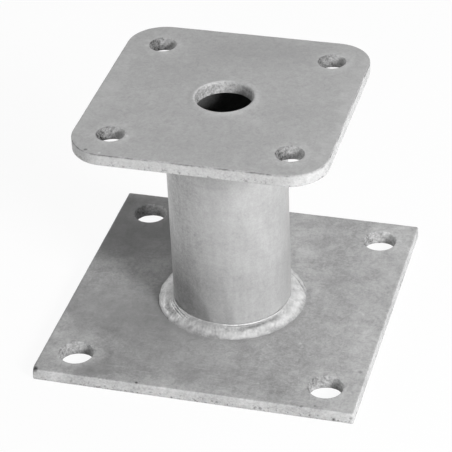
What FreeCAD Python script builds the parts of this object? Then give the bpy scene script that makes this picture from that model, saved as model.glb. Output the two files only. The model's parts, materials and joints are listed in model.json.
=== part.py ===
import FreeCAD, Part
import math
import os

# A post base: a square base plate, a round riser tube and a smaller square top plate,
# fillet-welded together and then galvanised as one piece.
# Millimetres. Origin at the middle of the underside, +Z up.

# Base plate, which lies on the concrete
base_width = 130.0
base_thickness = 5.0
base_corner_radius = 0.8
base_hole_diameter = 14.0
base_hole_inset = 14.0
drain_hole_diameter = 22.0

# Top plate, which the timber stands on
top_width = 100.0
top_thickness = 5.0
top_corner_radius = 15.0
top_hole_diameter = 11.0
top_hole_inset = 15.0
vent_hole_diameter = 22.5

# Riser, a cut length of pipe
tube_diameter = 48.3
tube_wall = 3.2
tube_length = 90.0

# Edges of the plates: the dulled arris that shears, punch and zinc leave, and the vent's rolled mouth
arris = 0.4
vent_mouth_radius = 0.9

# Fillet weld round each end of the tube: its legs, and how far it bulges past them
weld_plate_leg = 6.0
weld_tube_leg = 3.0
weld_crown = 0.6
weld_root = 0.8

# Hand wander of the weld's two toes, and the lump where its end runs over its start
weld_wander = 0.25
slow_waves = 2
quick_waves = 3
lap_height = 0.35
lap_half_width = 0.45
base_lap_angle = math.radians(208.0)
top_lap_angle = math.radians(35.0)
weld_sections = 36

# Places worked out from the sizes above
tube_bottom = base_thickness
tube_top = tube_bottom + tube_length
overall_height = tube_top + top_thickness
tube_radius = tube_diameter / 2
base_hole_pitch = base_width - 2 * base_hole_inset
top_hole_pitch = top_width - 2 * top_hole_inset
centre = FreeCAD.Vector(0, 0, 0)
up = FreeCAD.Vector(0, 0, 1)
same_level = 0.001


def square_plate(width, thickness, corner_radius, underside):
    """A square of sheet with rounded corners, its underside at the given level."""
    half = width / 2
    slab = Part.makeBox(width, width, thickness, FreeCAD.Vector(-half, -half, underside))
    corners = [edge for edge in slab.Edges if is_upright(edge)]
    return slab.makeFillet(corner_radius, corners)


def is_upright(edge):
    """True for a straight edge that runs along Z."""
    direction = edge.tangentAt(edge.FirstParameter)
    return abs(direction.z) > math.hypot(direction.x, direction.y)


def edges_at(shape, level):
    """The edges of the shape that lie flat at one level."""
    edges = []
    for edge in shape.Edges:
        box = edge.BoundBox
        if abs(box.ZMin - level) < same_level and abs(box.ZMax - level) < same_level:
            edges.append(edge)
    return edges


def is_vent_mouth(edge):
    """True for the circle round the middle of the top plate."""
    return edge.isClosed() and edge.CenterOfMass.distanceToPoint(up * overall_height) < same_level


def hole_centres(pitch):
    """Four places at the corners of a square of the given pitch."""
    half = pitch / 2
    return [FreeCAD.Vector(x, y, 0) for x in (-half, half) for y in (-half, half)]


def punched(plate, diameter, places, underside, thickness):
    """The plate with a round hole through it at each place."""
    for place in places:
        foot = place + up * underside
        plate = plate.cut(Part.makeCylinder(diameter / 2, thickness, foot))
    return plate


def make_base_plate():
    """The base plate: sheared square, four anchor holes and a drain under the tube."""
    plate = square_plate(base_width, base_thickness, base_corner_radius, 0.0)
    plate = punched(plate, base_hole_diameter, hole_centres(base_hole_pitch), 0.0, base_thickness)
    plate = punched(plate, drain_hole_diameter, [centre], 0.0, base_thickness)
    return plate.makeChamfer(arris, edges_at(plate, base_thickness) + edges_at(plate, 0.0))


def make_top_plate():
    """The top plate: round-cornered square, four screw holes, and a vent whose mouth is rolled in."""
    plate = square_plate(top_width, top_thickness, top_corner_radius, tube_top)
    plate = punched(plate, top_hole_diameter, hole_centres(top_hole_pitch), tube_top, top_thickness)
    plate = punched(plate, vent_hole_diameter, [centre], tube_top, top_thickness)
    upper = edges_at(plate, overall_height)
    plate = plate.makeFillet(vent_mouth_radius, [edge for edge in upper if is_vent_mouth(edge)])
    upper = [edge for edge in edges_at(plate, overall_height) if not is_vent_mouth(edge)]
    return plate.makeChamfer(arris, upper + edges_at(plate, tube_top))


def make_riser_tube():
    """The riser: a pipe cut square, its ends flat on the two plates."""
    foot = up * tube_bottom
    outside = Part.makeCylinder(tube_radius, tube_length, foot)
    bore = Part.makeCylinder(tube_radius - tube_wall, tube_length, foot)
    return outside.cut(bore)


def wander(angle, phase):
    """A slow and a quick wave round the tube, between -1 and 1."""
    slow = math.sin(slow_waves * angle + phase)
    quick = math.sin(quick_waves * angle - phase)
    return (slow + quick) / 2


def lap(angle, middle):
    """How much of the lap's height is there: 1 at its middle, falling off like a bell."""
    away = math.remainder(angle - middle, math.tau)
    return math.exp(-((away / lap_half_width) ** 2))


def weld_section(angle, level, side, lap_angle):
    """The weld's outline at one angle: an arc over the two toes, closed inside the steel.

    side is 1 above a plate and -1 below one.
    """
    outward = FreeCAD.Vector(math.cos(angle), math.sin(angle), 0)

    def place(from_tube, from_plate):
        return outward * (tube_radius + from_tube) + up * (level + side * from_plate)

    plate_leg = weld_plate_leg + weld_wander * wander(angle, lap_angle)
    tube_leg = weld_tube_leg + weld_wander * wander(-angle, lap_angle)
    bulge = weld_crown + lap_height * lap(angle, lap_angle)
    slope = math.hypot(plate_leg, tube_leg)
    crest = place(plate_leg / 2 + bulge * tube_leg / slope, tube_leg / 2 + bulge * plate_leg / slope)
    face = Part.Arc(place(0, tube_leg), crest, place(plate_leg, 0)).toShape()
    circle = face.Curve
    overrun = weld_root / circle.Radius
    long_face = Part.ArcOfCircle(circle, face.FirstParameter - overrun, face.LastParameter + overrun)
    root = place(-weld_root, -weld_root)
    back = Part.LineSegment(long_face.EndPoint, root)
    floor = Part.LineSegment(root, long_face.StartPoint)
    return Part.Wire([long_face.toShape(), back.toShape(), floor.toShape()])


def make_weld(level, side, lap_angle):
    """A closed ring of weld metal, seated on the tube's wall and on the plate's face."""
    angles = [math.tau * step / weld_sections for step in range(weld_sections)]
    outlines = [weld_section(angle, level, side, lap_angle) for angle in angles]
    ring = Part.makeLoft(outlines, True, False, True)
    reach = weld_plate_leg + weld_tube_leg
    tube_core = Part.makeCylinder(tube_radius, 2 * reach, up * (level - reach))
    plate_block = Part.makeCylinder(tube_radius + 2 * reach, reach, up * min(level, level - side * reach))
    return ring.cut(tube_core).cut(plate_block).Solids[0]


def save(name, shape):
    """Writes one piece and prints what it measures."""
    box = shape.optimalBoundingBox()
    print(f"{name}: {len(shape.Solids)} solid, {shape.Volume:.1f} mm3, z {box.ZMin:.2f} to {box.ZMax:.2f}")
    shape.exportStep(os.path.join("parts", f"{name}.step"))


os.makedirs("parts", exist_ok=True)
save("base_plate", make_base_plate())
save("riser_tube", make_riser_tube())
save("top_plate", make_top_plate())
save("base_weld", make_weld(tube_bottom, 1, base_lap_angle))
save("top_weld", make_weld(tube_top, -1, top_lap_angle))
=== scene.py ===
# %% [markdown]
# # A galvanised post base
#
# This post base is a weldment: two steel plates, a piece of pipe between them and a ring of
# weld at each end of the pipe, all dipped in molten zinc together. The solids are exact, so
# they are loaded first as a fixed frame. What they lack is the surface: the soft arris that
# zinc leaves on a cut edge, the ripples of the weld, and the cloudy grey of the coat.

# %% The fixed frame
import json
import math
from collections import namedtuple

import bmesh
import bpy
import numpy as np
from mathutils import Matrix, Vector

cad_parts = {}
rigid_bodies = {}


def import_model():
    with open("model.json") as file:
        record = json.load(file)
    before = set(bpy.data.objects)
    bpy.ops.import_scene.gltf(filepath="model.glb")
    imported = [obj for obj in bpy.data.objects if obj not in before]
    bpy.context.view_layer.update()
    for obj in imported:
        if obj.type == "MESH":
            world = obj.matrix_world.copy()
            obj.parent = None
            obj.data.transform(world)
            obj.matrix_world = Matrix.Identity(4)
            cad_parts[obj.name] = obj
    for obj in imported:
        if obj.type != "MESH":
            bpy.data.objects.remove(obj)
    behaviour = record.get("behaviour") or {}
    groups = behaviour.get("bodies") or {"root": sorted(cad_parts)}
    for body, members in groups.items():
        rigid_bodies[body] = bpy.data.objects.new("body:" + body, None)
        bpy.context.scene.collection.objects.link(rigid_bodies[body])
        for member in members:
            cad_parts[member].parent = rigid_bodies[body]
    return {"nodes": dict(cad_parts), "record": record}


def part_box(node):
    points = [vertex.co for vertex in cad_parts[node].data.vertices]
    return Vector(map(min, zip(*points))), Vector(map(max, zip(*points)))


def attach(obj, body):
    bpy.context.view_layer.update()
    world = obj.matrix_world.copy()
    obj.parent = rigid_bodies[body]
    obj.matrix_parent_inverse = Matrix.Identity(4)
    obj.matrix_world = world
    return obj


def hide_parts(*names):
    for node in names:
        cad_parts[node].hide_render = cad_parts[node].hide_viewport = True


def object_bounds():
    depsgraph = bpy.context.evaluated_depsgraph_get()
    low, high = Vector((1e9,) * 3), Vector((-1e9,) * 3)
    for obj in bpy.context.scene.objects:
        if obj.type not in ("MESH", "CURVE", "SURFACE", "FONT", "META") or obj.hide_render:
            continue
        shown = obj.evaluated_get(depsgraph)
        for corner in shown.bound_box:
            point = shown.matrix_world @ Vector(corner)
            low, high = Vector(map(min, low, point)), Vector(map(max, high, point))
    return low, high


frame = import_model()
cad_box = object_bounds()
print("solids:", sorted(frame["nodes"]))

# %% [markdown]
# ## Sizes
#
# Every size below is read from the solids or from the record's mounts, so the dressed pieces
# can't drift away from the real ones. A node's corners give its width and its levels, and the
# smallest distance of its points from the middle axis gives the hole in its middle.

# %% Sizes from the frame
mm = 0.001
small = 0.001 * mm


def node_points(name):
    """All points of a solid, as rows of x, y, z."""
    mesh = frame["nodes"][name].data
    points = np.empty(len(mesh.vertices) * 3, np.float32)
    mesh.vertices.foreach_get("co", points)
    return points.reshape(-1, 3).astype(float)


def radii(points):
    """The distance of each point from the middle axis."""
    return np.hypot(points[:, 0], points[:, 1])


def mount_dims(name):
    """The measures of one of the record's mounts."""
    return next(row["dims"] for row in frame["record"]["mounts"] if row["name"] == name)


base_low, base_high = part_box("base_plate")
top_low, top_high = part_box("top_plate")
tube_low, tube_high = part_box("riser_tube")
tube_radius = tube_high.x
tube_bore = radii(node_points("riser_tube")).min()
vent_radius = radii(node_points("top_plate")).min()
drain_radius = radii(node_points("base_plate")).min()
print(f"plates {2 * base_high.x / mm:.1f} and {2 * top_high.x / mm:.1f} mm wide")
print(f"tube {2 * tube_radius / mm:.1f} mm, bore {2 * tube_bore / mm:.1f} mm")

# %% [markdown]
# ## The camera
#
# The photograph was taken from the front, a little to the right and a third of the way up. The
# turn, tilt, roll and distance here were solved from the edges and holes of the two plates,
# whose real sizes are known, so the render can be laid over the photograph.

# %% The camera
image_pixels = 452
focal_pixels = 2153.73
camera_turn = math.radians(16.686)
camera_tilt = math.radians(34.112)
camera_roll = math.radians(-2.635)
camera_distance = 863.12 * mm
camera_right = -1.545 * mm
camera_up = -8.671 * mm


def place_camera():
    """A camera that looks along -back, with its right and up turned by the roll."""
    back = Vector((math.sin(camera_turn) * math.cos(camera_tilt),
                   -math.cos(camera_turn) * math.cos(camera_tilt),
                   math.sin(camera_tilt)))
    right = Vector((math.cos(camera_turn), math.sin(camera_turn), 0))
    above = back.cross(right)
    middle = Vector((0, 0, (cad_box[0][2] + cad_box[1][2]) / 2))
    eye = middle + back * camera_distance + right * camera_right + above * camera_up
    roll = Matrix.Rotation(camera_roll, 3, "Z")
    turned = Matrix((right, above, back)).transposed() @ roll
    camera = bpy.data.objects.new("camera", bpy.data.cameras.new("camera"))
    camera.data.lens = camera.data.sensor_width * focal_pixels / image_pixels
    camera.matrix_world = Matrix.Translation(eye) @ turned.to_4x4()
    bpy.context.scene.collection.objects.link(camera)
    bpy.context.scene.camera = camera
    return camera


camera = place_camera()
print(f"lens {camera.data.lens:.1f} mm at {camera.location.length:.3f} m")

# %% [markdown]
# ## A mesh from arrays
#
# Every piece here is worked out as whole grids of points. A grid's faces follow from its rows
# and columns alone, so a piece is a list of grids that share their borders. One helper joins
# the borders and turns all faces outwards. Numbers that belong to a place, such as how near a
# hole is, are kept on the points as attributes, where the finish can read them.

# %% Helper: grids to a mesh
merge_distance = 0.0005 * mm


def grid_faces(rows, columns, ring):
    """Four corners a face: a point, the next in its row, and the two beside them in the next row.

    In a ring, the last column is followed by the first.
    """
    last = columns if ring else columns - 1
    row, column = np.meshgrid(np.arange(rows - 1), np.arange(last), indexing="ij")
    after = (column + 1) % columns
    corners = [row * columns + column, row * columns + after,
               (row + 1) * columns + after, (row + 1) * columns + column]
    return np.stack(corners, -1).reshape(-1, 4)


def stack_grids(grids):
    """Points and faces of a list of (grid of points, whether its columns form a ring)."""
    points = np.concatenate([grid.reshape(-1, 3) for grid, ring in grids])
    starts = np.cumsum([0] + [grid.shape[0] * grid.shape[1] for grid, ring in grids])
    faces = [grid_faces(*grid.shape[:2], ring) + start for (grid, ring), start in zip(grids, starts)]
    return points, np.concatenate(faces)


def make_piece(name, points, faces, notes):
    """A smooth mesh with its borders joined; notes maps an attribute's name to a number per point."""
    mesh = bpy.data.meshes.new(name)
    mesh.from_pydata(points, [], faces.tolist())
    for note, numbers in notes.items():
        attribute = mesh.attributes.new(note, "FLOAT", "POINT")
        attribute.data.foreach_set("value", numbers.astype(np.float32))
    work = bmesh.new()
    work.from_mesh(mesh)
    bmesh.ops.remove_doubles(work, verts=work.verts, dist=merge_distance)
    bmesh.ops.recalc_face_normals(work, faces=work.faces)
    open_edges = sum(len(edge.link_faces) != 2 for edge in work.edges)
    work.to_mesh(mesh)
    work.free()
    mesh.shade_smooth()
    piece = bpy.data.objects.new(name, mesh)
    bpy.context.scene.collection.objects.link(piece)
    print(f"{name}: {len(mesh.vertices)} points, {len(mesh.polygons)} faces, {open_edges} open edges")
    return piece


# %% [markdown]
# ## The unevenness of zinc
#
# Rolled plate that has been through a zinc bath is never optically flat. A sum of sine waves
# that cross in random directions makes a smooth swell without a pattern. It depends only on a
# point's place, so two grids that share a border stay joined when both are moved by it.

# %% Helper: a gentle swell
def swell(points, wavelength, seed, waves=24):
    """A number near -1 to 1 for each place.

    It is the sum of sin(direction . place * 2 pi / length + phase) over waves with random
    directions, random phases and lengths near the wavelength.
    """
    random = np.random.default_rng(seed)
    direction = random.normal(size=(waves, 3))
    direction /= np.linalg.norm(direction, axis=1, keepdims=True)
    length = wavelength * random.uniform(0.6, 1.6, (waves, 1))
    phase = random.uniform(0, math.tau, waves)
    return np.sin(points @ (direction * math.tau / length).T + phase).sum(1) / math.sqrt(2 * waves)


def fade(distance, width):
    """1 at distance 0, falling off like a bell: exp(-(distance / width) squared)."""
    return np.exp(-((distance / width) ** 2))


# %% [markdown]
# ## The plates
#
# Seen from above, a plate is cut into nine blocks: one round each corner hole, one round the
# hole in the middle, and four plain ones between them. A block round a hole is ruled from the
# circle to the block's border, and all blocks share their borders' points. The edges are a
# profile carried along the outline and round each hole. Bevelling a box would be quicker, but
# leaves long thin faces that can't carry a swell.

# %% Outlines of a plate
cell = 0.95 * mm
corner_steps = 16
tightest_corner = 0.3 * mm
quarter_turns = [np.array([[c, -s], [s, c]]) for c, s in ((1, 0), (0, 1), (-1, 0), (0, -1))]


def raised(flat, heights):
    """A grid of places in plan, with a height added to each."""
    return np.concatenate([flat, np.broadcast_to(heights, flat.shape[:2] + (1,))], 2)


def line(start, stop, count=None):
    """Evenly spaced places from start to stop: start * (1 - share) + stop * share."""
    start, stop = np.array(start), np.array(stop)
    count = count or round(np.abs(stop - start).max() / cell) + 1
    share = np.linspace(0, 1, count)[:, None]
    return start * (1 - share) + stop * share


def corner_path(half, corner, split, inset):
    """One corner of the outline, moved in by inset, with its two sides up to the split lines.

    The arc is core + radius * (cos, sin), and its radius shrinks with the inset.
    """
    count = round((half - corner - split) / cell) + 1
    radius = max(corner - inset, tightest_corner)
    side = half - inset
    core = side - radius
    angle = np.linspace(0, math.pi / 2, corner_steps + 1)
    arc = core + radius * np.stack([np.cos(angle), np.sin(angle)], 1)
    first = line((side, split), (side, core), count)[:-1]
    last = line((core, side), (split, side), count)[1:]
    return np.concatenate([first, arc, last])


def outline(half, corner, split, inset):
    """The whole outline, moved in by inset: four quarter turns of a corner and the side after it."""
    path = corner_path(half, corner, split, inset)
    side = line((split, half - inset), (-split, half - inset))[1:-1]
    path = np.concatenate([path, side])
    return np.concatenate([path @ turn.T for turn in quarter_turns])


print(f"cells of {cell / mm:.2f} mm, {corner_steps} steps round a corner")

# %% Blocks of a plate
def corner_block(half, corner, split, inset):
    """The closed border of the block round a corner hole, moved in from the outline by inset.

    Its two inner sides have as many points whatever the inset is.
    """
    edge = corner_path(half, corner, split, inset)
    count = round((half - split) / cell) + 1
    to_split = line(edge[-1], (split, split), count)[1:]
    from_split = line((split, split), edge[0], count)[1:-1]
    return np.concatenate([edge, to_split, from_split])


def middle_block(split):
    """The closed square border of the block round the hole in the middle."""
    side = line((split, -split), (split, split))[:-1]
    return np.concatenate([side @ turn.T for turn in quarter_turns])


def hole_directions(border, centre):
    """The direction from the hole's centre to each point of its block's border."""
    away = border - centre
    return away / np.linalg.norm(away, axis=1, keepdims=True)


def ruled(inner, outer, level):
    """Rows of places from one closed loop to another: inner * (1 - share) + outer * share."""
    reach = np.linalg.norm(outer - inner, axis=1).mean()
    share = np.linspace(0, 1, round(reach / cell) + 1)[:, None, None]
    return raised(inner * (1 - share) + outer * share, level)


def side_block(half, split, inset, level):
    """A plain block between two corner blocks: each x of its long side with each y of its short one."""
    x = line((split, half), (-split, half))[:, 0]
    y = line((split, half - inset), (split, split), round((half - split) / cell) + 1)[:, 1]
    return raised(np.stack(np.meshgrid(x, y), 2), level)


def turned(grid, turn):
    """A grid turned about the middle axis."""
    return np.concatenate([grid[..., :2] @ turn.T, grid[..., 2:]], -1)


# %% [markdown]
# ## The edges of the plates
#
# A shear rolls the upper edge of a plate over before it parts the steel, and a punch does the
# same at the mouth of a hole. So the edge starts with a flat quarter ellipse, wider than it is
# deep, goes down the wall and ends in a small round. The base plate was sheared, and its
# rollover is wide. The top plate was sawn or burned out, and its arris is nearly sharp. A Face
# keeps the level of a plate's upper or lower side, and how far the edges reach in over it.

# %% Edges of a plate
support = 0.3 * mm
wall_steps = 7
round_steps = 7
under_round = 0.35 * mm
Rollover = namedtuple("Rollover", "width depth")
Face = namedtuple("Face", "level edge hole vent")
sheared = Rollover(1.2 * mm, 0.25 * mm)
trimmed = Rollover(0.35 * mm, 0.25 * mm)
punched = Rollover(0.45 * mm, 0.3 * mm)
vent_mouth = Rollover(0.8 * mm, 0.7 * mm)


def edge_profile(low, high, rollover):
    """Pairs of inset and height over an edge, from above to below.

    A short flat, a quarter ellipse, the wall, a quarter circle and a short flat.
    """
    angle = np.linspace(0, math.pi / 2, round_steps + 1)
    inwards, downwards = 1 - np.sin(angle), 1 - np.cos(angle)
    over = np.stack([rollover.width * inwards, high - rollover.depth * downwards], 1)
    wall = np.linspace(high - rollover.depth, low + under_round, wall_steps + 1)[1:-1]
    wall = np.stack([np.zeros_like(wall), wall], 1)
    under = np.stack([under_round * downwards, low + under_round * inwards], 1)
    first, last = [rollover.width + support, high], [under_round + support, low]
    return np.concatenate([[first], over, wall, under, [last]])


def lofted(profile, path_at):
    """Rows of places: the path at each inset of the profile, at that row's height."""
    return raised(np.stack([path_at(inset) for inset in profile[:, 0]]), profile[:, 1, None, None])


print(f"sheared edge {sheared.width / mm:.2f} mm wide, punched one {punched.width / mm:.2f} mm")

# %% [markdown]
# ## Nine blocks, an outline and five holes
#
# The zinc ran off the plates to one side as they were lifted out, and froze as a sag in each
# corner hole. The sag is thickest low down on the side that it drained to, so each hole's wall
# leans inwards there. The wall is worked out for one corner and turned to the other three, while
# the way that the zinc drained stays the same for all four.

# %% A whole plate
drained = np.array([-0.29, 0.96])
least_sag = 0.3


def sag(ways, turn):
    """How thick the zinc hangs in a hole: least + (1 - least) * max(way . drained, 0)^2."""
    return least_sag + (1 - least_sag) * np.clip(ways @ (drained @ turn), 0, 1) ** 2


def plate_grids(low, high, half, corner, hole_place, hole_radius, throat, middle_radius, edge, middle):
    """All grids of a plate: nine blocks above, nine below, the outline, and the wall of each hole.

    Zinc hangs low in each corner hole, as thick as the throat on the side it drained to.
    """
    split = 2 * hole_place - half
    centre = np.array([hole_place, hole_place])
    rim = lofted(edge_profile(low, high, edge), lambda inset: outline(half, corner, split, inset))
    grids = [(rim, True)]
    underside = Face(low, under_round, under_round, under_round)
    topside = Face(high, edge.width, punched.width, middle.width)
    profile = edge_profile(low, high, punched)
    share = (profile[:, 1, None] - low) / (high - low)
    borders = [corner_block(half, corner, split, face.edge + support) for face in (underside, topside)]
    lower, upper = (hole_directions(border, centre) for border in borders)
    ways = lower * (1 - share[..., None]) + upper * share[..., None]
    ways /= np.linalg.norm(ways, axis=2, keepdims=True)
    for turn in quarter_turns:
        reaches = hole_radius + profile[:, :1] - throat * sag(ways, turn) * (1 - share)
        wall = raised(centre + reaches[..., None] * ways, profile[:, 1, None, None])
        grids.append((turned(wall, turn), True))
        for face, border, away in zip((underside, topside), borders, (lower, upper)):
            hang = throat * sag(away, turn) if face is underside else 0 * away[:, 0]
            mouth = centre + (hole_radius + face.hole + support - hang)[:, None] * away
            side = side_block(half, split, face.edge + support, face.level)
            grids.append((turned(ruled(mouth, border, face.level), turn), True))
            grids.append((turned(side, turn), False))
    border = middle_block(split)
    away = hole_directions(border, np.zeros(2))
    vent = lofted(edge_profile(low, high, middle), lambda inset: (middle_radius + inset) * away)
    grids.append((vent, True))
    for face in (underside, topside):
        mouth = (middle_radius + face.vent + support) * away
        grids.append((ruled(mouth, border, face.level), True))
    return grids


# %% [markdown]
# ## What the finish needs to know of a place
#
# The zinc looks different on a sheared edge, in a punched hole and round a hole's mouth. Both the distance
# to the outline and the distance to the nearest hole follow from a point's place, and the finish gets them
# as masks. The few broad clouds are listed one by one, because their places give the plate its character.
# They are duller or brighter zinc, and on the base plate partly painted light and shade: the dark cloud at
# the back left is the tube's shadow painted in, and the one left of the middle is partly painted shade. In
# a hole, painted shade darkens the left wall, and painted light brightens the right one.

# %% Clouds on a plate
Cloud = namedtuple("Cloud", "x y turn length width depth")
# Painted light and shade are among these clouds: the one at -48, 45 is the tube's painted shadow, and the
# one at -38, -22 is partly painted shade.
base_clouds_and_shade = [Cloud(-38, -22, -16, 34, 17, 0.27), Cloud(-48, 45, 30, 40, 26, 0.33),
               Cloud(-8, -50, 0, 26, 9, 0.14), Cloud(38, 2, 80, 26, 8, 0.07),
               Cloud(0, -62.5, 0, 66, 3.5, -0.16), Cloud(-50, 8, -24, 20, 7, -0.12),
               Cloud(61, 0, 90, 62, 7, -0.14), Cloud(21, 30, 104, 36, 9, -0.20),
               Cloud(-60, -44, 110, 20, 5, -0.18), Cloud(-20, -52, 35, 14, 3, -0.08),
               Cloud(58, 58, -45, 14, 9, -0.12), Cloud(-43, -60, 3, 12, 4.5, 0.32),
               Cloud(-47, 59, 0, 16, 9, 0.16)]
top_clouds = [Cloud(10, 38, 0, 28, 11, 0.11), Cloud(-14, 22, 60, 22, 10, 0.05),
              Cloud(48.5, 0, 90, 46, 3, -0.10), Cloud(-47, -4, 90, 30, 5, -0.08),
              Cloud(30, -6, 20, 12, 6, 0.05), Cloud(12, -15, -25, 14, 4, -0.06),
              Cloud(8, -32, 10, 20, 9, 0.04), Cloud(-28, -4, 35, 20, 4, -0.04)]
cloud_edge = 9 * mm
cloud_drift = 2.5 * mm


def cloud_cover(points, clouds, seed):
    """The sum of depth * exp(-((along / length)^2 + (across / width)^2)^1.5) over the clouds.

    The places are first moved about by a swell, so the clouds have uneven borders.
    """
    x = points[:, 0] + cloud_drift * swell(points, cloud_edge, seed)
    y = points[:, 1] + cloud_drift * swell(points, cloud_edge, seed + 1)
    cover = np.zeros(len(points))
    for cloud in clouds:
        turn = math.radians(cloud.turn)
        away_x, away_y = x / mm - cloud.x, y / mm - cloud.y
        along = away_x * math.cos(turn) + away_y * math.sin(turn)
        across = away_y * math.cos(turn) - away_x * math.sin(turn)
        away = (along / cloud.length) ** 2 + (across / cloud.width) ** 2
        cover += cloud.depth * np.exp(-away ** 1.5)
    return cover


print(f"{len(base_clouds_and_shade)} clouds on the base plate, {len(top_clouds)} on the top plate")

# %% Distances on a plate
edge_blend = 0.45 * mm
full_mask = 1.2


def depth_in_outline(x, y, half, corner):
    """How far inside the rounded square a place is: the corner's radius - the distance from its core."""
    past_x, past_y = np.abs(x) - (half - corner), np.abs(y) - (half - corner)
    outside = np.hypot(np.maximum(past_x, 0), np.maximum(past_y, 0))
    return corner - outside - np.minimum(np.maximum(past_x, past_y), 0)


def distance_to_holes(x, y, hole_place, hole_radius, middle_radius):
    """How far a place is from the wall of the nearest hole, outside it."""
    corner_hole = np.hypot(np.abs(x) - hole_place, np.abs(y) - hole_place) - hole_radius
    return np.minimum(corner_hole, np.hypot(x, y) - middle_radius)


def beside(distance):
    """A mask for a wall: full_mask - distance / edge_blend, kept between 0 and 1."""
    return np.clip(full_mask - distance / edge_blend, 0, 1)


print(f"a wall's mask ends {full_mask * edge_blend / mm:.2f} mm inside the plate")

# %% Painted shade and light in a hole
wall_shade_middle = 0.25
wall_shade_side = 0.85
wall_shade_vent = 0.6


def hole_wall_shading(x, y, hole_place):
    """How much painted shade a wall gets, painted light where it is below 0: a middle amount plus a side
    amount times leftwards in a corner hole.

    In the hole in the middle it is the vent's amount times leftwards^2 on the left half, and 0 on the
    right.
    """
    corner = np.hypot(x, y) > hole_place
    from_x = np.where(corner, (np.abs(x) - hole_place) * np.sign(x), x)
    from_y = np.where(corner, np.abs(y) - hole_place, y)
    leftwards = -from_x / np.maximum(np.hypot(from_x, from_y), small)
    in_vent = wall_shade_vent * np.clip(leftwards, 0, 1) ** 2
    return np.where(corner, wall_shade_middle + wall_shade_side * leftwards, in_vent)


print(f"film in a corner hole: {wall_shade_middle + wall_shade_side:.2f} left, {wall_shade_middle - wall_shade_side:.2f} right")

# %% [markdown]
# ## Making the plates
#
# The plates get a broad, very low swell all over, and a finer one on their cut edges. Zinc stands up as a
# low collar round each hole, highest round the vent. The base plate was knocked at its front left corner,
# where a chip is missing from the arris. A thin dark line runs along the top plate's upper arris and the
# base plate's lower one. A grey band of painted shadow lies on the plates all round the toes of the welds.

# %% Sizes of the plates' surface
plate_swell = 13 * mm
plate_swell_height = 0.025 * mm
edge_swell = 2.0 * mm
edge_swell_height = 0.025 * mm
base_throat = 1.3 * mm
top_throat = 1.4 * mm
hole_skin = 0.12 * mm
hole_collar = 0.08 * mm
vent_collar = 0.3 * mm
collar_place = 1.0 * mm
collar_width = 1.2 * mm
collar_start = 0.8
mouth_width = 2.6 * mm
arris_line_width = 0.2 * mm
# A ring of painted shadow on the plates round the toes of the welds.
toe_shadow = 0.12
toe_shadow_place = 7.2 * mm
toe_shadow_width = 1.5 * mm
chip_reach = 1.6 * mm
chip_depth = 0.45 * mm
chip_way = np.array([0.6, 0.6, -1.0])


def measured_corner(name, half):
    """The radius of the outline's corners, from the solid's points that lie on the side walls.

    The straight side ends where the corner starts.
    """
    points = node_points(name)
    on_side = np.abs(points[:, 0] - half) < small
    return half - np.abs(points[on_side, 1]).max()


print(f"zinc stands {vent_collar / mm:.2f} mm high round the vent, {hole_collar / mm:.2f} mm round a hole")

# %% Making the two plates
def make_plate(name, low, high, mount, throat, middle_radius, edge, middle, clouds, below, seed):
    """One dressed plate, which stands for the solid of the same name; below is 1 for the base plate."""
    half = high.x
    corner = measured_corner(name, half)
    dims = mount_dims(mount)
    hole_place = dims["spacing_x_mm"] * mm / 2
    hole_radius = dims["hole_r_mm"] * mm - hole_skin
    grids = plate_grids(low.z, high.z, half, corner, hole_place, hole_radius, throat, middle_radius,
                        edge, middle)
    points, faces = stack_grids(grids)
    x, y, z = points.T
    depth = depth_in_outline(x, y, half, corner)
    hole = distance_to_holes(x, y, hole_place, hole_radius, middle_radius)
    # A ring of painted shadow round the foot of each weld.
    toe_shade = toe_shadow * fade(np.hypot(x, y) - tube_radius - toe_shadow_place, toe_shadow_width)
    upper = np.clip((z - low.z) / (high.z - low.z), 0, 1)
    arris_level = low.z if below else high.z - edge.depth
    chip = below * fade(np.linalg.norm(points - (-half, -half, high.z), axis=1), chip_reach)
    # The holes' walls get painted shade on the left and painted light on the right.
    notes = {
        "edge": beside(depth),
        "hole": beside(hole),
        "mouth": fade(np.maximum(hole - punched.width, 0), mouth_width),
        "wall_shading": beside(hole) * hole_wall_shading(x, y, hole_place),
        "arris": fade(depth, arris_line_width) * fade(z - arris_level, 2 * arris_line_width),
        "upper": upper,
        "dull_and_shade": cloud_cover(points, clouds, seed + 7) + toe_shade * (1 - np.abs(upper - below)),
    }
    near_edge = np.maximum(notes["edge"], notes["hole"])
    moved = points + chip_depth * chip[:, None] * chip_way
    for axis in range(3):
        broad = plate_swell_height * swell(points, plate_swell, seed + axis)
        fine = edge_swell_height * swell(points, edge_swell, seed + 3 + axis)
        moved[:, axis] += broad + fine * near_edge
    vent_side = np.hypot(x, y) < hole_place
    collar = np.where(vent_side, vent_collar, hole_collar) * fade(hole - collar_place, collar_width)
    moved[:, 2] += collar * np.clip((upper - collar_start) / (1 - collar_start), 0, 1)
    on_ground = z < low.z + small
    moved[:, 2] = np.where(on_ground, low.z, np.maximum(moved[:, 2], low.z))
    print(f"{name}: corners of {corner / mm:.2f} mm, holes of {2 * hole_radius / mm:.1f} mm")
    return make_piece(name + "_zinc", moved, faces, notes)


base_plate = make_plate("base_plate", base_low, base_high, "base_bolts", base_throat, drain_radius,
                        sheared, punched, base_clouds_and_shade, 1.0, 11)
top_plate = make_plate("top_plate", top_low, top_high, "top_bolts", top_throat, vent_radius,
                       trimmed, vent_mouth, top_clouds, 0.0, 23)

# %% [markdown]
# ## The riser tube
#
# The riser is a sawn length of pipe. Its surface is one closed profile, up the outside, over the upper
# end, down the bore and under the lower end, carried round the middle axis. A cloud low on its left, and a
# fainter, broader veil above it, darken the coat: they are painted shade and a painted reflection of the
# darker base plate, over a dull patch of the coat. Their tops rise and fall round the pipe, so each mask
# compares a point's height with a height that depends on the angle. Higher up, a painted reflection makes
# the pipe's left side a little brighter.

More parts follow.
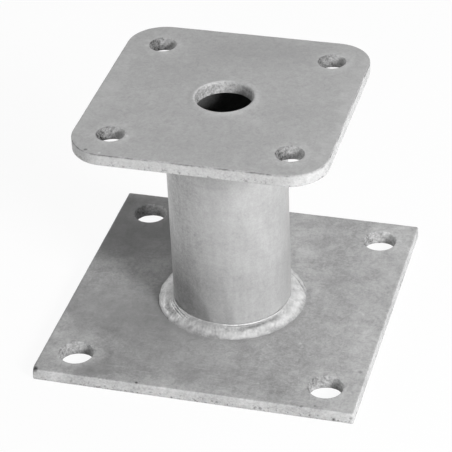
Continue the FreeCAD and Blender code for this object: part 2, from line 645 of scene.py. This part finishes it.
# %% The painted shade on the tube, a cloud and a veil
shade_cloud_turns = np.radians([150, 175, 197, 241, 251, 261, 268])
shade_cloud_tops = np.array([0, 17, 20, 24, 20, 13, 0])
shade_veil_turns = np.radians([150, 197, 241, 277, 292])
shade_veil_tops = np.array([0, 31, 36, 31, 0])
shade_cloud_reach = 30
# Where a painted reflection brightens the tube's left limb, higher up.
limb_turn = np.radians(203)
limb_width = np.radians(13)
limb_foot = 42
limb_fade = 10
print(f"cloud up to {shade_cloud_tops.max()} mm, veil up to {shade_veil_tops.max()} mm")

# %% The riser tube
tube_columns = 220
tube_row = 1.25 * mm
tube_swell_height = 0.035 * mm


def carried_round(profile, columns):
    """The profile of radius and height carried round the axis: (radius cos, radius sin, height)."""
    angle = np.linspace(0, math.tau, columns, endpoint=False)
    radius, height = profile[:, :1], profile[:, 1:]
    return np.stack([radius * np.cos(angle), radius * np.sin(angle), height + 0 * angle], 2)


def make_tube():
    """The pipe: outer wall, ends and bore, with masks for its bore, its cloud and veil of painted shade,
    the painted reflection on its left limb, and its left side.
    """
    rows = round((tube_high.z - tube_low.z) / tube_row)
    height = np.linspace(tube_low.z, tube_high.z, rows + 1)
    outside = np.stack([np.full_like(height, tube_radius), height], 1)
    bore = np.stack([np.full_like(height, tube_bore), height[::-1]], 1)
    profile = np.concatenate([outside, bore, outside[:1]])
    points, faces = stack_grids([(carried_round(profile, tube_columns), True)])
    x, y, z = points.T
    turn = np.arctan2(y, x) % math.tau
    # Masks for the cloud and the veil of painted shade low on the tube's left.
    below_shade_cloud = np.interp(turn, shade_cloud_turns, shade_cloud_tops) - z / mm
    below_shade_veil = np.interp(turn, shade_veil_turns, shade_veil_tops) - z / mm
    notes = {
        "bore": (np.hypot(x, y) < tube_radius - small).astype(float),
        "cloud": np.clip(below_shade_cloud, -shade_cloud_reach, shade_cloud_reach),
        "shade_veil": np.clip(below_shade_veil, -shade_cloud_reach, shade_cloud_reach),
        "limb_reflection": fade(turn - limb_turn, limb_width) / (1 + np.exp((limb_foot - z / mm) / limb_fade)),
        "left": np.clip(-x / tube_radius, 0, 1),
    }
    off = tube_swell_height * swell(points, plate_swell, 37) * (1 - notes["bore"])
    points[:, :2] *= 1 + off[:, None] / tube_radius
    return make_piece("riser_tube_zinc", points, faces, notes)


riser_tube = make_tube()

# %% [markdown]
# ## The two welds
#
# A fillet weld laid by hand is a ring with two wandering toes, one on the tube and one on the
# plate. Its surface is a function of the angle round the tube and of the share of the way from
# one toe to the other. The solid gives the toes and the bulge at every angle. On top of them
# come a ripple for each pause of the electrode, soft lumps, and the marks of one run: the
# crater where it stopped, the ridges that it dragged along, and creases beside the tube.

# %% What the solid says of a weld
weld_columns = 860
weld_rows = 56
crown_bins = 24
toe_clearance = mm
on_wall = 5 * small


def weld_form(name, level):
    """Toe radius on the plate, toe height on the tube and bulge, at each of the weld's angles.

    The bulge is how far the solid's points stand from the straight line between the toes.
    """
    points = node_points(name)
    angle = np.arctan2(points[:, 1], points[:, 0])
    radius, height = radii(points), np.abs(points[:, 2] - level)
    columns = np.linspace(-math.pi, math.pi, weld_columns, endpoint=False)

    def along(chosen, numbers):
        """The chosen points' numbers at each of the columns' angles."""
        order = np.argsort(angle[chosen])
        return np.interp(columns, angle[chosen][order], numbers[chosen][order], period=math.tau)

    on_plate = (height < small) & (radius > tube_radius + toe_clearance)
    on_tube = (np.abs(radius - tube_radius) < on_wall) & (height > toe_clearance)
    toe_radius, toe_height = along(on_plate, radius), along(on_tube, height)
    leg = np.interp(angle, columns, toe_radius, period=math.tau) - tube_radius
    rise = np.interp(angle, columns, toe_height, period=math.tau)
    stand = ((radius - tube_radius) * rise + height * leg - leg * rise) / np.hypot(leg, rise)
    bins = np.floor((angle + math.pi) / math.tau * crown_bins).astype(int) % crown_bins
    crown = np.zeros(crown_bins)
    np.maximum.at(crown, bins, stand)
    middle = (np.arange(crown_bins) + 0.5) / crown_bins * math.tau - math.pi
    return columns, toe_radius, toe_height, np.interp(columns, middle, crown, period=math.tau)


# %% [markdown]
# ## The marks of a welding run
#
# Each mark is a long low ridge, or a groove where its height is negative. It has a middle angle
# and a middle share, a slant that lets it drift towards one toe, and a reach along the ring. A
# short list of marks says more about a weld than noise does, because the eye knows a crater.
# Both welds have the same marks, turned, because one hand laid both.

# %% Marks on the welds
Mark = namedtuple("Mark", "turn share slant reach width height")
crater = Mark(218, 0.52, 0.1, 13, 0.16, -0.42)
crater_lip = Mark(203, 0.6, 0.8, 8, 0.06, 0.28)
outer_ridge = Mark(208, 0.87, -0.12, 24, 0.08, 0.34)
dragged_heights = {0.10: 0.3, 0.17: -0.26, 0.24: 0.28, 0.31: -0.24, 0.38: 0.2}
dragged_ridges = [Mark(225, share, 0.35, 14, 0.026, height) for share, height in dragged_heights.items()]
toe_line = Mark(296, 0.055, 0.0, 52, 0.03, 0.2)
crease = Mark(311, 0.27, -0.1, 21, 0.13, -0.25)
thin_crease = Mark(293, 0.13, 0.0, 17, 0.035, -0.16)
front_lobe = Mark(286, 0.74, 0.0, 14, 0.18, 0.08)
right_lobe = Mark(348, 0.62, 0.0, 26, 0.26, 0.16)
lap_groove = Mark(29, 0.56, -1.1, 13, 0.05, -0.26)
lap_ridge = Mark(31, 0.70, -1.1, 13, 0.06, 0.16)
left_line = Mark(226, 0.05, 0.0, 26, 0.03, 0.16)
base_marks = [crater, crater_lip, outer_ridge, *dragged_ridges, left_line, toe_line, crease,
              thin_crease, front_lobe, right_lobe, lap_groove, lap_ridge]
top_turn = 150
top_marks = [mark._replace(turn=mark.turn + top_turn) for mark in base_marks]
mark_wobble = 0.02


def way_round(angle, turn):
    """The angle from a place at that turn, in degrees, the short way round: -pi to pi."""
    return np.remainder(angle - math.radians(turn) + math.pi, math.tau) - math.pi


def marked(angle, share, wobble, mark):
    """height * exp(-(way round / reach)^4 - (way across / width)^2) for one mark."""
    way = way_round(angle, mark.turn)
    across = (share - mark.share - mark.slant * way + mark_wobble * wobble) / mark.width
    return mark.height * mm * np.exp(-((way / math.radians(mark.reach)) ** 4) - across ** 2)


print(f"{len(base_marks)} marks on a weld, the top weld's turned by {top_turn} degrees")

# %% [markdown]
# ## The texture of the bead
#
# Between the marks the bead has ripples, one for each pause of the electrode, which bow between
# the two toes. Lumps and a fine unevenness lie over them. Round the crater the metal froze in
# cells, and shallow seams run between them. The places where a swell is zero form such a net of
# lines, so a narrow groove along them looks like the real seams.

# %% The relief of a weld
ripple_length = 2.1 * mm
ripple_height = 0.03 * mm
ripple_bow = 1.1
lump_length = 4.5 * mm
lump_height = 0.12 * mm
fine_length = 1.4 * mm
fine_height = 0.06 * mm
seam_length = 3.6 * mm
seam_width = 0.16
seam_depth = 0.2 * mm
seam_reach = math.radians(16)
toe_share = 0.03


def seams(angle, flat, seed, mark):
    """Narrow grooves round a mark, where a swell is zero: -depth * exp(-(swell / width)^2)."""
    net = fade(swell(flat, seam_length, seed), seam_width).reshape(angle.shape)
    return -seam_depth * net * fade(way_round(angle, mark.turn), seam_reach)


def weld_relief(angle, share, smooth, seed, marks):
    """Height above the smooth weld: ripples, lumps and fine unevenness, then marks and seams.

    The first of the marks is the crater, which the seams lie round.
    """
    flat = smooth.reshape(-1, 3)
    lumps, fine, slow = (swell(flat, length, seed + step).reshape(angle.shape)
                         for step, length in enumerate((lump_length, fine_length, 2 * lump_length)))
    bent = angle * tube_radius / ripple_length + ripple_bow * (2 * share - 1) ** 2 + 0.5 * lumps
    ripples = np.cos(math.tau * bent) * (0.6 + 0.4 * slow)
    relief = ripple_height * ripples + lump_height * lumps + fine_height * fine
    relief = relief * np.sin(math.pi * share) ** 0.5
    relief = relief + sum(marked(angle, share, slow, mark) for mark in marks)
    relief += seams(angle, flat, seed + 9, marks[0])
    return relief * np.clip(share / toe_share, 0, 1) * np.clip((1 - share) / toe_share, 0, 1)


print(f"ripples of {ripple_height / mm:.2f} mm, lumps of {lump_height / mm:.2f} mm")

# %% Making the two welds
toe_scallop = 0.26 * mm
toe_spread = 0.4 * mm
Stretch = namedtuple("Stretch", "after_crater reach tone")
# Stretches beside the crater: a painted reflection on one side, and a little darker on the other.
stretches = [Stretch(-28, 38, 0.72), Stretch(33, 25, -0.14)]


def stretch_tone(columns, crater_turn):
    """The painted light on the ring at each angle, darker where it is below 0: the sum of tone * exp(-(way
    round / reach)^4).
    """
    ways = [way_round(columns, crater_turn + stretch.after_crater) for stretch in stretches]
    return sum(stretch.tone * np.exp(-((way / math.radians(stretch.reach)) ** 4))
               for stretch, way in zip(stretches, ways))


def make_weld(name, level, side, seed, marks):
    """A closed ring: the line between the toes, and bulge * 4 share (1 - share) + relief off that line.

    side is 1 above a plate and -1 below one. The ring closes through the corner of tube and plate.
    """
    columns, toe_radius, toe_height, bulge = weld_form(name, level)
    share = np.linspace(0, 1, weld_rows)[:, None]
    angle = columns[None, :] + 0 * share
    leg, rise = toe_radius - tube_radius, toe_height
    slope = np.hypot(leg, rise)

    def placed(leg, off):
        """Places at each share of the line between the toes, moved off it along its normal."""
        radius = tube_radius + leg * share + off * rise / slope
        height = rise * (1 - share) + off * leg / slope
        return np.stack([radius * np.cos(angle), radius * np.sin(angle), level + side * height], 2)

    arch = 4 * bulge * share * (1 - share)
    smooth = placed(leg, arch)
    relief = weld_relief(angle, share, smooth, seed, marks)
    scallop = toe_scallop * swell(smooth.reshape(-1, 3), 2 * ripple_length, seed + 5)
    face = placed(leg + (toe_spread + scallop.reshape(angle.shape)) * share, arch + relief)
    face[..., 2] = level + side * np.maximum(side * (face[..., 2] - level), 0)
    root = np.stack([tube_radius * np.cos(columns), tube_radius * np.sin(columns),
                     level + 0 * columns], 1)
    points, faces = stack_grids([(np.concatenate([face, root[None], face[:1]]), True)])
    rows = np.concatenate([share, [[0.5]], [[0.0]]]) + 0 * columns[None, :]
    sunk = np.concatenate([relief, 0 * relief[:2]])
    # Painted light, and a little darkening, along stretches of the ring beside the crater.
    stretch_shading = stretch_tone(columns, marks[0].turn) + 0 * rows
    notes = {"share": rows.ravel(), "relief": sunk.ravel() / mm, "stretch_shading": stretch_shading.ravel()}
    print(f"{name}: plate toe {toe_radius.min() / mm:.2f}-{toe_radius.max() / mm:.2f} mm, "
          f"tube toe {toe_height.min() / mm:.2f}-{toe_height.max() / mm:.2f} mm")
    return make_piece(name + "_zinc", points, faces, notes)


base_weld = make_weld("base_weld", base_high.z, 1, 51, base_marks)
top_weld = make_weld("top_weld", top_low.z, -1, 67, top_marks)

# %% [markdown]
# ## Writing a finish
#
# A finish is a sum of many faint layers: broad clouds, patches, grain, specks. Written as nodes
# by hand that is a maze, and as a Python expression it is one line. The wrapper below lets an
# output socket stand in a sum, and one method adds every other kind of node.

# %% Helper: shader sums
class Value:
    """An output socket that can stand in a sum or a product; each operator adds a Math node."""

    def __init__(self, finish, socket):
        """Keeps the finish whose nodes it is made of, and the socket."""
        self.finish = finish
        self.socket = socket

    def maths(self, operation, *numbers):
        """A Math node of that operation on this value and the others."""
        inputs = dict(enumerate((self,) + numbers))
        return self.finish.node("Math", {"operation": operation}, inputs)

    def __add__(self, other):
        return self.maths("ADD", other)

    def __sub__(self, other):
        return self.maths("SUBTRACT", other)

    def __rsub__(self, other):
        return (self * -1) + other

    def __mul__(self, other):
        return self.maths("MULTIPLY", other)

    __radd__ = __add__
    __rmul__ = __mul__

    def clamped(self, low=0.0, high=1.0):
        """The value kept between low and high."""
        return self.maths("MAXIMUM", low).maths("MINIMUM", high)

    def ramp(self, start, stop):
        """0 below start, 1 above stop, and a smooth step between."""
        settings = {"interpolation_type": "SMOOTHSTEP"}
        return self.finish.node("MapRange", settings, {0: self, 1: start, 2: stop})


# %% Helper: the nodes of a finish
class Finish:
    """The nodes of one material, or of the sky."""

    def __init__(self, tree):
        """Empties the node tree, so the finish holds nothing but what is added."""
        self.tree = tree
        tree.nodes.clear()

    def node(self, kind, settings=None, inputs=None, output=0):
        """Adds a node of that kind: its settings first, then its sockets' values or links."""
        node = self.tree.nodes.new("ShaderNode" + kind)
        for name, setting in (settings or {}).items():
            setattr(node, name, setting)
        for name, value in (inputs or {}).items():
            if isinstance(value, Value):
                self.tree.links.new(value.socket, node.inputs[name])
            else:
                node.inputs[name].default_value = value
        return Value(self, node.outputs[output]) if node.outputs else None

    def place(self):
        """A point's place on the object, in metres."""
        return self.node("TexCoord", output="Object")

    def note(self, name):
        """An attribute that was kept on the points."""
        return self.node("Attribute", {"attribute_name": name}, output="Fac")

    def stretched(self, turn, stretch):
        """Places turned about each axis, then shrunk along each, which draws a pattern out."""
        inputs = {"Vector": self.place(), "Rotation": turn, "Scale": stretch}
        return self.node("Mapping", {}, inputs)

    def noise(self, size, seed, detail=2.0, place=None, curl=0.0):
        """Cloudy noise about 0, mostly between -1 and 1, whose patches are about that size across.

        Curl bends the patches into squiggles.
        """
        inputs = {"Vector": place or self.place(), "W": seed, "Scale": 1 / size, "Detail": detail,
                  "Distortion": curl}
        return (self.node("TexNoise", {"noise_dimensions": "4D"}, inputs) - 0.5) * 5

    def specks(self, size, spacing, seed):
        """Small round specks in patches: 1 in the middle of some cells of a random net, 0 elsewhere."""
        inputs = {"Vector": self.place(), "W": seed, "Scale": 1 / spacing}
        net = self.node("TexVoronoi", {"voronoi_dimensions": "4D"}, inputs, output="Distance")
        reach = size / spacing
        return (1 - net.ramp(0.4 * reach, reach)) * self.noise(5 * spacing, seed + 0.5).ramp(-0.2, 0.5)

    def spot(self, centre, reach):
        """A round spot: 1 near its centre, falling smoothly to 0 at its reach."""
        inputs = {0: self.place(), 1: centre}
        away = self.node("VectorMath", {"operation": "DISTANCE"}, inputs, output="Value")
        return 1 - away.ramp(0.3 * reach, reach)

    def grey(self, tone):
        """A neutral grey of that tone, which is 0 for black and 1 for white."""
        inputs = {0: tone, 6: (0, 0, 0, 1), 7: (1, 1, 1, 1)}
        return self.node("Mix", {"data_type": "RGBA"}, inputs, output=2)


# %% [markdown]
# ## Zinc as a shader
#
# A dull zinc coat is not a mirror and not a paint: fine crystals scatter the light, and a part
# of it is still reflected as a metal does. A Principled shader that is partly metallic and
# rough shows both, a soft reflection of the white studio and a body that the lamps shade. The
# coat on the plates is chalky, so it doesn't shine even where light strikes it at a low angle.

# %% The coat
metallic = 0.3
bump_strength = 1.0
chalky = 0.0
satin = 0.5
bump_depth = 0.02 * mm
grain_size = 0.7 * mm


def new_finish(name):
    """An empty material, ready for its nodes."""
    material = bpy.data.materials.new(name)
    material.use_nodes = True
    return material, Finish(material.node_tree)


def coat(finish, tone, roughness, relief, depth, shine):
    """Zinc of that tone, roughness and relief, where a relief of 1 is depth high.

    Shine is the strength of the gloss at low angles.
    """
    bump = finish.node("Bump", {}, {"Height": relief, "Distance": depth, "Strength": bump_strength})
    inputs = {"Base Color": finish.grey(tone), "Metallic": metallic, "Roughness": roughness,
              "Normal": bump, "Specular IOR Level": shine}
    finish.node("OutputMaterial", {}, {"Surface": finish.node("BsdfPrincipled", {}, inputs)})


# %% [markdown]
# ## Zinc on the plates
#
# A fresh coat on thick plate is a matt, cloudy grey. The clouds come from iron that grew up
# through the zinc as it cooled, and lie a few centimetres apart. Over them are finger-wide
# patches, a fine grain and a few bright specks of dross. The cut edges are brighter, pitted
# low down, and have a thin dark line of dashes at the arris. Handling has scratched the base
# plate. A few small spots on both plates are listed one by one, each with its place, its reach,
# how dark it is and how far below the upper face.

# %% Small marks on the plates
Spot = namedtuple("Spot", "x y reach depth drop", defaults=[0.0])
base_spots = [Spot(-64.3, -64.3, 2.1, 0.8), Spot(62, -38.9, 1.3, 0.35),
              Spot(-21.9, -64.2, 0.8, 0.7), Spot(44.5, -64.6, 0.9, 0.45),
              Spot(49.6, -63.3, 0.7, 0.35), Spot(34.8, -26.0, 1.0, -0.22),
              Spot(36.1, -28.3, 0.9, -0.18), Spot(55.5, -2.1, 0.9, -0.2),
              Spot(53.9, -7.3, 0.7, -0.15), Spot(28.3, -65, 1.0, 0.6, 3.6),
              Spot(57.3, -65, 1.1, 0.6, 4.0), Spot(64.1, -65, 0.9, 0.5, 2.2)]
top_spots = [Spot(-40.9, -47.6, 1.0, 0.5), Spot(-35.1, -48.8, 0.8, -0.35),
             Spot(-28.4, -35.3, 0.9, -0.25)]
print(f"{len(base_spots)} spots on the base plate, {len(top_spots)} on the top plate")

# %% The plates' finish
drawn_turn = math.radians(35)
scratch_turn = math.radians(-70)


def plate_finish(name, seed, cloudiness, scratched, tone, wall_shading, spots, level):
    """Zinc on a plate, from the strength of its clouds and of the painted shade and light on its hole
    walls, and its spots.

    The level is that of its upper face.
    """
    material, zinc = new_finish(name)
    drawn = zinc.stretched((0, 0, drawn_turn), (1.0, 0.42, 1.0))
    clouds = zinc.noise(30 * mm, seed, 3, drawn)
    patches = zinc.noise(7 * mm, seed + 1, 5)
    mottle = zinc.noise(2.4 * mm, seed + 2, 3, curl=1.2)
    grain = zinc.noise(grain_size, seed + 3, 2)
    specks = zinc.specks(0.4 * mm, 3.0 * mm, seed + 4)
    edge, hole, mouth, upper = (zinc.note(note) for note in ("edge", "hole", "mouth", "upper"))
    cut = (edge + hole).clamped()
    dull_and_shade = zinc.note("dull_and_shade")
    low_down = (1.2 - 1.7 * upper).clamped()
    pits = zinc.noise(1.1 * mm, seed + 5, 3).ramp(0.35, 0.8) * low_down * (edge + 0.4 * hole)
    broken = zinc.noise(6 * mm, seed + 6, 3).ramp(-0.2, 0.6)
    fine = (0.4 + 0.6 * cloudiness) * (0.12 * mottle + 0.08 * grain) * (1.1 - 2.6 * dull_and_shade.clamped(0.0, 0.3))
    shade = 1 + cloudiness * (0.09 * clouds + 0.14 * patches) + fine
    shade = shade + 0.13 * specks + (0.10 + 0.04 * mottle) * mouth
    shade = shade + cut * (0.08 + 0.08 * cloudiness + 0.07 * grain)
    # Painted shade on the left walls of the holes and painted light on the right ones.
    shade = shade + hole * (0.14 * mottle + 0.1 * grain - 0.12) - wall_shading * zinc.note("wall_shading")
    # The clouds taken off here are duller zinc and, on the base plate, partly painted shadow and shade;
    # the ring round the weld toes is painted shadow.
    shade = shade - 0.87 * dull_and_shade * (1 + 0.25 * patches) * (1 - 0.8 * hole)
    shade = shade - (0.3 + 0.35 * cloudiness) * pits - 0.68 * zinc.note("arris") * (0.35 + 0.65 * broken)
    for spot in spots:
        centre = (spot.x * mm, spot.y * mm, level - spot.drop * mm)
        shade = shade - spot.depth * zinc.spot(centre, spot.reach * mm)
    if scratched:
        along = zinc.stretched((0, 0, scratch_turn), (0.06, 1.0, 1.0))
        marks = zinc.noise(0.8 * mm, seed + 7, 1, along).ramp(0.5, 1.1)
        handled = zinc.noise(30 * mm, seed + 8, 1).ramp(-0.1, 0.4)
        shade = shade + 0.16 * marks * handled * (1 - cut)
    roughness = (0.80 + 0.03 * clouds + 0.03 * patches).clamped(0.5, 0.95)
    relief = 0.3 * patches + 0.35 * mottle + 0.25 * grain + 0.5 * specks - pits + cut * 0.4 * mottle
    coat(zinc, tone * shade, roughness, relief, bump_depth, chalky)
    return material


base_finish = plate_finish("zinc_base_plate", 3.1, 1.0, True, 0.358, 0.35, base_spots, base_high.z)
top_finish = plate_finish("zinc_top_plate", 8.4, 0.24, False, 0.396, 0.7, top_spots, top_high.z)
print("finishes:", base_finish.name, top_finish.name)

# %% [markdown]
# ## Zinc on the tube
#
# The pipe is smoother than the plates. Zinc ran down it as it was lifted from the bath, which leaves faint
# streaks along it and bands across, stronger on the left. The cloud and the veil above it are painted
# shade over a dull patch of the coat, and noise added to their masks frays their borders. Higher up, a
# painted reflection lightens the left limb.

# %% The tube's finish
def tube_finish(name, seed, tone):
    """Zinc on the pipe, dark in the bore, where the light doesn't reach the coat."""
    material, zinc = new_finish(name)
    drawn = zinc.stretched((0, 0, 0), (1.0, 1.0, 0.12))
    across = zinc.stretched((0, 0, 0), (0.1, 0.1, 1.0))
    streaks = zinc.noise(1.8 * mm, seed, 3, drawn)
    bands = zinc.noise(2.0 * mm, seed + 1, 2, across)
    patches = zinc.noise(9 * mm, seed + 2, 5)
    mottle = zinc.noise(1.8 * mm, seed + 3, 3)
    grain = zinc.noise(grain_size, seed + 4, 2)
    specks = zinc.specks(0.35 * mm, 4 * mm, seed + 5)
    # Painted shade low on the tube's left: the cloud and the veil above it.
    cloud = (zinc.note("cloud") + 2.4 * patches + 1.6 * mottle).ramp(-3.0, 3.5)
    shade_veil = (zinc.note("shade_veil") + 3.5 * patches + 1.5 * mottle).ramp(-6.0, 6.0)
    left = zinc.note("left")
    fine = (0.045 * streaks + 0.02 * bands + 0.05 * mottle + 0.07 * grain) * (1 + 2.2 * left)
    # The left limb gets a painted reflection.
    shade = 1 + fine + 0.07 * patches * (1 + left) + 0.1 * specks + 0.14 * zinc.note("limb_reflection")
    shade = shade * (1 - 0.25 * cloud) * (1 - 0.13 * shade_veil) * (1 - 0.6 * zinc.note("bore"))
    roughness = (0.45 + 0.04 * patches + 0.02 * streaks).clamped(0.3, 0.7)
    relief = 0.3 * patches + 0.3 * mottle + 0.2 * bands + 0.2 * grain
    coat(zinc, tone * shade, roughness, relief, bump_depth, satin)
    return material


pipe_finish = tube_finish("zinc_tube", 15.7, 0.35)
print("finish:", pipe_finish.name)

# %% [markdown]
# ## Zinc on the welds
#
# Weld metal holds silicon, which makes the coat on it thicker and brighter than on the plate beside it.
# The relief that shaped the weld also tints it, with painted shade in its hollows and painted light on its
# crests, and the outer toe, in the crease against the plate, has painted shade too. On one side of the
# crater a painted reflection brightens the bead for a stretch, and on the other it is a little darker.

# %% The welds' finish
weld_bump_depth = 0.05 * mm
# Limits of the relief's tint: painted shade in the hollows, painted light on the crests.
darkest_hollow_shade = -0.52
brightest_crest_light = 0.12


def weld_finish(name, seed, tone):
    """Bright, rippled zinc on weld metal, with painted shade in its hollows and along its outer toe, and
    painted light on its crests.
    """
    material, zinc = new_finish(name)
    patches = zinc.noise(4 * mm, seed, 4)
    streaks = zinc.noise(1.5 * mm, seed + 1, 3)
    grain = zinc.noise(grain_size, seed + 2, 2)
    # Painted shade in the hollows and painted light on the crests.
    relief_shading = (1.3 * zinc.note("relief")).clamped(darkest_hollow_shade, brightest_crest_light)
    # Painted shade in the crease of the outer toe, against the plate.
    toe = zinc.note("share").ramp(0.6, 1.05)
    shade = 1 + 0.10 * patches + 0.10 * streaks + 0.08 * grain + relief_shading - 0.4 * toe
    # A painted reflection brightens a stretch beside the crater, and the other side is a little darker.
    shade = shade * (1 + zinc.note("stretch_shading"))
    roughness = (0.66 + 0.05 * patches).clamped(0.4, 0.85)
    relief = 0.4 * patches + 0.6 * streaks + 0.4 * grain
    coat(zinc, tone * shade, roughness, relief, weld_bump_depth, satin)
    return material


bead_finish = weld_finish("zinc_weld", 21.3, 0.43)
print("finish:", bead_finish.name)

# %% [markdown]
# ## Dressing the pieces
#
# Each dressed surface takes the place of one solid, gets its finish and rides on the one body, because
# nothing on a post base moves.

# %% Dressing the pieces
dressed = [
    (base_plate, "base_plate", "plate_zinc", base_finish),
    (top_plate, "top_plate", "plate_zinc", top_finish),
    (riser_tube, "riser_tube", "tube_zinc", pipe_finish),
    (base_weld, "base_weld", "weld_zinc", bead_finish),
    (top_weld, "top_weld", "weld_zinc", bead_finish),
]
for piece, node, slot, finish in dressed:
    piece.data.materials.append(finish)
    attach(piece, "root")
    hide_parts(node)
print("dressed:", [piece.name for piece, *_ in dressed])

# %% [markdown]
# ## Floor, sky and lamps
#
# The photograph has a pure white ground. The floor and the sky show white to the camera and in
# the metal's reflections, while the light that they throw is faint, so the object isn't washed
# out and its soft shadow stays on the floor. One lamp stands on the right, where the bright band
# on the tube and the tube's shadow on the base plate say it was, and faint ones fill the rest.

# %% The floor
floor_half = 2.0
floor_white = 0.94


def seen_directly(finish):
    """1 where the camera looks, straight, by way of a gloss or through glass; 0 for thrown light."""
    camera_ray, glossy_ray, glass_ray = (finish.node("LightPath", output=name) for name in
                                         ("Is Camera Ray", "Is Glossy Ray", "Is Transmission Ray"))
    return camera_ray.maths("MAXIMUM", glossy_ray).maths("MAXIMUM", glass_ray)


def make_floor():
    """A wide square that is white to look at and keeps a faint shadow."""
    corners = np.array([[-1, -1, 0], [1, -1, 0], [1, 1, 0], [-1, 1, 0]]) * floor_half
    mesh = bpy.data.meshes.new("floor")
    mesh.from_pydata(corners, [], [(0, 1, 2, 3)])
    floor = bpy.data.objects.new("floor", mesh)
    bpy.context.scene.collection.objects.link(floor)
    material, paper = new_finish("white_ground")
    matt = paper.node("BsdfDiffuse", {}, {"Color": (0.8, 0.8, 0.8, 1)})
    glow = paper.node("Emission", {}, {"Color": (1, 1, 1, 1), "Strength": 1.0})
    both = paper.node("MixShader", {}, {0: floor_white * seen_directly(paper), 1: matt, 2: glow})
    paper.node("OutputMaterial", {}, {"Surface": both})
    mesh.materials.append(material)


make_floor()
print(f"floor {2 * floor_half:.0f} m wide")

# %% The sky
sky_thrown = 0.01


def make_sky():
    """White to look at, faint as a light."""
    world = bpy.data.worlds.new("studio")
    world.use_nodes = True
    bpy.context.scene.world = world
    sky = Finish(world.node_tree)
    strength = sky_thrown + (1 - sky_thrown) * seen_directly(sky)
    glow = sky.node("Background", {}, {"Color": (1, 1, 1, 1), "Strength": strength})
    sky.node("OutputWorld", {}, {"Surface": glow})


make_sky()
print(f"the sky throws {sky_thrown:.0%} of white")

# %% The lamps
lamp_distance = 1.5
key_width = 0.4
fill_width = 1.0


def make_lamp(name, turn, rise, size, watts):
    """A square soft lamp that faces the object's middle; turn is from the front towards the right."""
    turn, rise = math.radians(turn), math.radians(rise)
    way = Vector((math.sin(turn) * math.cos(rise), -math.cos(turn) * math.cos(rise), math.sin(rise)))
    lamp = bpy.data.objects.new(name, bpy.data.lights.new(name, "AREA"))
    lamp.data.size = size
    lamp.data.energy = watts
    lamp.location = way * lamp_distance + Vector((0, 0, cad_box[1][2] / 2))
    lamp.rotation_euler = way.to_track_quat("Z", "Y").to_euler()
    bpy.context.scene.collection.objects.link(lamp)


make_lamp("key", 56, 25, key_width, 33.5)
make_lamp("back_low", 160, 30, fill_width, 5)
make_lamp("back_high", 160, 60, fill_width, 3)
make_lamp("left_low", -75, 5, fill_width, 12)
make_lamp("front_low", 20, 5, fill_width, 7)
print(sum(thing.type == "LIGHT" for thing in bpy.data.objects), "lamps")

# %% [markdown]
# ## The view
#
# The standard view shows a grey as it was written.

# %% The view
bpy.context.scene.view_settings.view_transform = "Standard"
